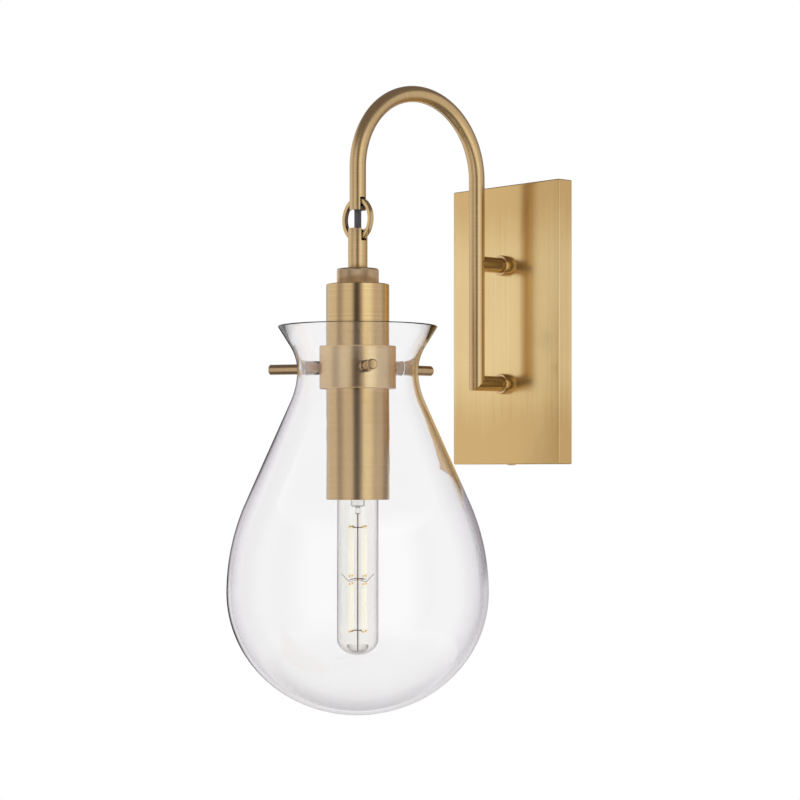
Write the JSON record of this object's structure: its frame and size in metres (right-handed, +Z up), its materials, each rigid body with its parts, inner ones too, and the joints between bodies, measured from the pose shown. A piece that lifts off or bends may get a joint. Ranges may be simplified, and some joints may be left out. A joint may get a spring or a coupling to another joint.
{
  "type": "wall sconce",
  "caption": "Wall light: a rectangular brass plate, a gooseneck tube and a link ring carry a socket cup, whose pins hold a closed clear glass bell round a tubular bulb.",
  "frame": {"origin": "on the wall, at the centre of the wall plate's back, midway between the two slots for the outlet box screws", "axes": "+Z up along the wall, -Y out of the wall into the room, +X to the right seen from the room"},
  "size_m": [0.2032, 0.2751, 0.4941],
  "materials": {
    "aged_brass": "satin, brushed and lightly aged",
    "plate_brass": "satin, brushed upright, lightly aged",
    "knurled_brass": "fine diamond knurl, darker in the grooves",
    "bright_brass": "bright",
    "zinc": "zinc plated",
    "earth_green": "green dyed zinc",
    "copper": "bare copper",
    "wire_black": "smooth",
    "sleeve_black": "matt",
    "connector_orange": "moulded",
    "clear_glass": "clear, polished",
    "bush_clear": "clear soft plastic",
    "phenolic": "moulded black",
    "bulb_clear": "clear",
    "cap_nickel": "nickel plated",
    "insulator_black": "black glass",
    "phosphor": "cream coating over the diodes",
    "lead_wire": "drawn wire"
  },
  "bodies": {
    "root": {"wall_plate": "plate_brass", "mounting_strap": "zinc", "plate_screws": "aged_brass", "earth_screw": "earth_green", "earth_lead": "copper", "gooseneck_tube": "aged_brass", "upper_post": "aged_brass", "lower_post": "aged_brass", "upper_collar": "aged_brass", "lower_collar": "aged_brass", "post_pipes": "zinc", "post_washers": "zinc", "post_nuts": "zinc", "wire_bushing": "wire_black", "arm_cross_pin": "zinc", "arm_wires": "wire_black", "wire_connectors": "connector_orange"},
    "link": {"link_ring": "aged_brass", "link_sleeve": "sleeve_black"},
    "pendant": {"stem_tube": "aged_brass", "stem_cross_pin": "zinc", "socket_pipe": "zinc", "cup_washer": "zinc", "cup_locknut": "zinc", "socket_cup": "aged_brass", "shade_collar": "aged_brass", "glass_shade": "clear_glass", "pin_bushes": "bush_clear", "lampholder_cap": "bright_brass", "lampholder_body": "phenolic", "screw_shell": "bright_brass", "centre_contact": "bright_brass", "terminal_screws": "bright_brass", "stem_wires": "wire_black"},
    "nut": {"knurled_nut": "knurled_brass"},
    "pin_rear": {"thumb_pin_rear": "aged_brass"},
    "pin_left": {"thumb_pin_left": "aged_brass"},
    "pin_right": {"thumb_pin_right": "aged_brass"},
    "bulb": {"bulb_glass": "bulb_clear", "bulb_cap": "cap_nickel", "bulb_insulator": "insulator_black", "bulb_contact": "cap_nickel", "bulb_mount": "bulb_clear", "filament_sticks": "phosphor", "filament_frame": "lead_wire", "filament_button": "bulb_clear"}
  },
  "joints": [
    {"name": "link_swing", "type": "hinge", "parent": "root", "child": "link", "pos_m": [0, -0.1735, 0.08705], "axis": [0, 1, 0], "range_deg": [-8, 8]},
    {"name": "shade_tilt", "type": "hinge", "parent": "link", "child": "pendant", "pos_m": [0, -0.1735, 0.0599], "axis": [1, 0, 0], "range_deg": [-8, 8]},
    {"name": "knurled_nut_turn", "type": "hinge", "parent": "pendant", "child": "nut", "pos_m": [0, -0.1735, 0.03], "axis": [0, 0, 1], "continuous": true},
    {"name": "rear_pin_pull", "type": "slide", "parent": "pendant", "child": "pin_rear", "axis": [0.0349, 0.9994, 0], "range_m": [0, 0.026]},
    {"name": "left_pin_pull", "type": "slide", "parent": "pendant", "child": "pin_left", "axis": [-0.8829, -0.4695, 0], "range_m": [0, 0.026]},
    {"name": "right_pin_pull", "type": "slide", "parent": "pendant", "child": "pin_right", "axis": [0.848, -0.5299, 0], "range_m": [0, 0.026]},
    {"name": "bulb_turn", "type": "hinge", "parent": "pendant", "child": "bulb", "pos_m": [0, -0.1735, -0.12], "axis": [0, 0, 1], "continuous": true}
  ]
}
